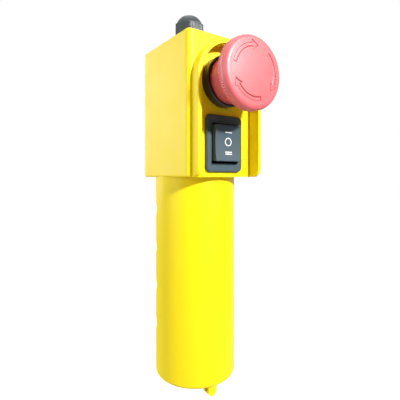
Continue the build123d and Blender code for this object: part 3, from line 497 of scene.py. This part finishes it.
def mark_from_rings(loops):
    """Points and faces of thin strips between an outer and an inner outline, on the face."""
    points, faces = [], []
    for outer, inner in loops:
        count = len(outer)
        base = len(points)
        for lift in (MARK_LIFT, -MARK_SINK):
            for outline in (outer, inner):
                for x, z in outline:
                    points.append((x, paddle_face_depth(z) - lift, z))
        for k in range(count):
            n = (k + 1) % count
            top_out, top_in = base, base + count
            low_out, low_in = base + 2 * count, base + 3 * count
            faces.append((top_out + k, top_out + n, top_in + n, top_in + k))
            faces.append((low_out + n, low_out + k, low_in + k, low_in + n))
            faces.append((top_out + n, top_out + k, low_out + k, low_out + n))
            faces.append((top_in + k, top_in + n, low_in + n, low_in + k))
    return points, faces


def bar_outline(z, width, height):
    """Bar at height z, as an outer loop and its collapsed middle line."""
    xs = [width * (i / BAR_STEPS - 0.5) for i in range(BAR_STEPS + 1)]
    outer = [(x, z - height / 2) for x in xs] + [(x, z + height / 2) for x in reversed(xs)]
    inner = [(x * BAR_MIDDLE, z) for x in xs] + [(x * BAR_MIDDLE, z) for x in reversed(xs)]
    return outer, inner


def ring_outline(z, size, line):
    """Ring at height z of outer diameter size, drawn with a line of the given width."""
    outer, inner = [], []
    for k in range(RING_STEPS):
        a = math.tau * k / RING_STEPS
        outer.append((size / 2 * math.cos(a), z + size / 2 * math.sin(a)))
        inner.append(((size / 2 - line) * math.cos(a), z + (size / 2 - line) * math.sin(a)))
    return outer, inner


def make_rocker_marks():
    """I, O and II, turned as they are on the switch: one bar, a ring, two bars."""
    low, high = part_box("rocker_paddle")
    z = (low.z + high.z) / 2
    bar = 4.8 * MM
    loops = [
        bar_outline(z + 6.05 * MM, bar, 0.52 * MM),
        ring_outline(z + 0.75 * MM, 4.7 * MM, 0.50 * MM),
        bar_outline(z - 5.00 * MM, bar, 0.48 * MM),
        bar_outline(z - 6.10 * MM, bar, 0.52 * MM),
    ]
    points, faces = mark_from_rings(loops)
    piece = mesh_object("rocker_marks", points, faces, MARK, smooth=False)
    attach(piece, "rocker")


# ---------------------------------------------------------------- stage
FLOOR_DROP = 0.30           # below the pendant, which hangs
FLOOR_HALF_SIZE = 6.0
FLOOR_SEEN_GLOW = 0.9       # makes the floor as white to the camera as the backdrop


def pale_floor():
    """Pale matt floor that glows to the camera only, so that its far edge can't be seen."""
    s = Shader("pale_floor")
    s.colour(s.mix(s.noise(0.4, 3.0), (0.46, 0.46, 0.46), (0.44, 0.44, 0.44)))
    s.roughness(s.spread(s.noise(0.1, 3.0), 0.65, 0.75))
    s.set(Emission_Color=(FLOOR_SEEN_GLOW, FLOOR_SEEN_GLOW, FLOOR_SEEN_GLOW, 1.0))
    s.link(s.add("ShaderNodeLightPath").outputs["Is Camera Ray"], s.bsdf.inputs["Emission Strength"])
    return s.material


def make_stage():
    """Pale floor well below the hanging pendant."""
    size = FLOOR_HALF_SIZE
    z = cad_box[0].z - FLOOR_DROP
    corners = [(-size, -size, z), (size, -size, z), (size, size, z), (-size, size, z)]
    mesh_object("floor", corners, [(0, 1, 2, 3)], pale_floor(), smooth=False)


def area_light(name, place, target, size, strength, colour=(1, 1, 1)):
    """Round lamp whose disc is strength times as bright as white."""
    data = bpy.data.lights.new(name, "AREA")
    data.shape = "DISK"
    data.size = size
    data.energy = strength * math.pi * math.pi * size**2 / 4
    data.color = colour
    lamp = bpy.data.objects.new(name, data)
    lamp.location = place
    lamp.rotation_mode = "QUATERNION"
    lamp.rotation_quaternion = (Vector(target) - Vector(place)).to_track_quat("-Z", "Y")
    bpy.context.scene.collection.objects.link(lamp)


def studio_world(front, rear):
    """White to look at; as light, dim from the front of the studio and bright from its rear."""
    world = bpy.data.worlds.new("studio")
    world.use_nodes = True
    tree = world.node_tree
    background = tree.nodes["Background"]
    where = tree.nodes.new("ShaderNodeTexCoord")
    split = tree.nodes.new("ShaderNodeSeparateXYZ")
    ramp = tree.nodes.new("ShaderNodeMapRange")
    ramp.inputs["From Min"].default_value = -0.5
    ramp.inputs["From Max"].default_value = 0.5
    ramp.inputs["To Min"].default_value = front
    ramp.inputs["To Max"].default_value = rear
    path = tree.nodes.new("ShaderNodeLightPath")
    seen = tree.nodes.new("ShaderNodeMix")
    tree.links.new(where.outputs["Generated"], split.inputs[0])
    tree.links.new(split.outputs["Y"], ramp.inputs["Value"])
    tree.links.new(path.outputs["Is Camera Ray"], seen.inputs["Factor"])
    tree.links.new(ramp.outputs["Result"], seen.inputs[2])
    seen.inputs[3].default_value = 1.0
    tree.links.new(seen.outputs[0], background.inputs["Strength"])
    background.inputs["Color"].default_value = (1.0, 1.0, 1.0, 1.0)
    bpy.context.scene.world = world


HEAD = (0.0, -0.03, -0.06)
LEFT_SIDE = (0.0, -0.03, -0.12)


def make_light():
    """A small hard key from the front, soft panels behind, at the left and overhead."""
    studio_world(0.13, 1.0)
    area_light("key", (0.115, -0.66, 0.24), HEAD, 0.07, 720.0, (1.0, 0.99, 0.97))
    area_light("rear_panel", (-0.43, 0.72, 0.10), HEAD, 0.55, 2.8)
    area_light("left_panel", (-0.78, -0.04, 0.02), LEFT_SIDE, 0.45, 3.6)
    area_light("overhead", (0.0, 0.0, 0.75), HEAD, 0.6, 1.6)
    view = bpy.context.scene.view_settings
    view.view_transform = "Standard"
    view.look = "None"


# ---------------------------------------------------------------- camera
CAMERA_PLACE = (-0.1255, -0.1942, -0.0967)
CAMERA_YAW = 34.64          # degrees to the right of straight ahead
CAMERA_LENS = 31.5
CAMERA_SHIFT_Y = -0.0588


def make_camera():
    """The photograph's viewing angle: from the left of the front, level with the head."""
    data = bpy.data.cameras.new("camera")
    data.sensor_width = 36.0
    data.lens = CAMERA_LENS
    data.shift_y = CAMERA_SHIFT_Y
    data.clip_start = 0.01
    camera = bpy.data.objects.new("camera", data)
    camera.location = CAMERA_PLACE
    camera.rotation_euler = (math.radians(90), 0, math.radians(-CAMERA_YAW))
    bpy.context.scene.collection.objects.link(camera)
    bpy.context.scene.camera = camera


dress_nodes()
make_mushroom()
make_rocker_marks()
make_stage()
make_light()
make_camera()
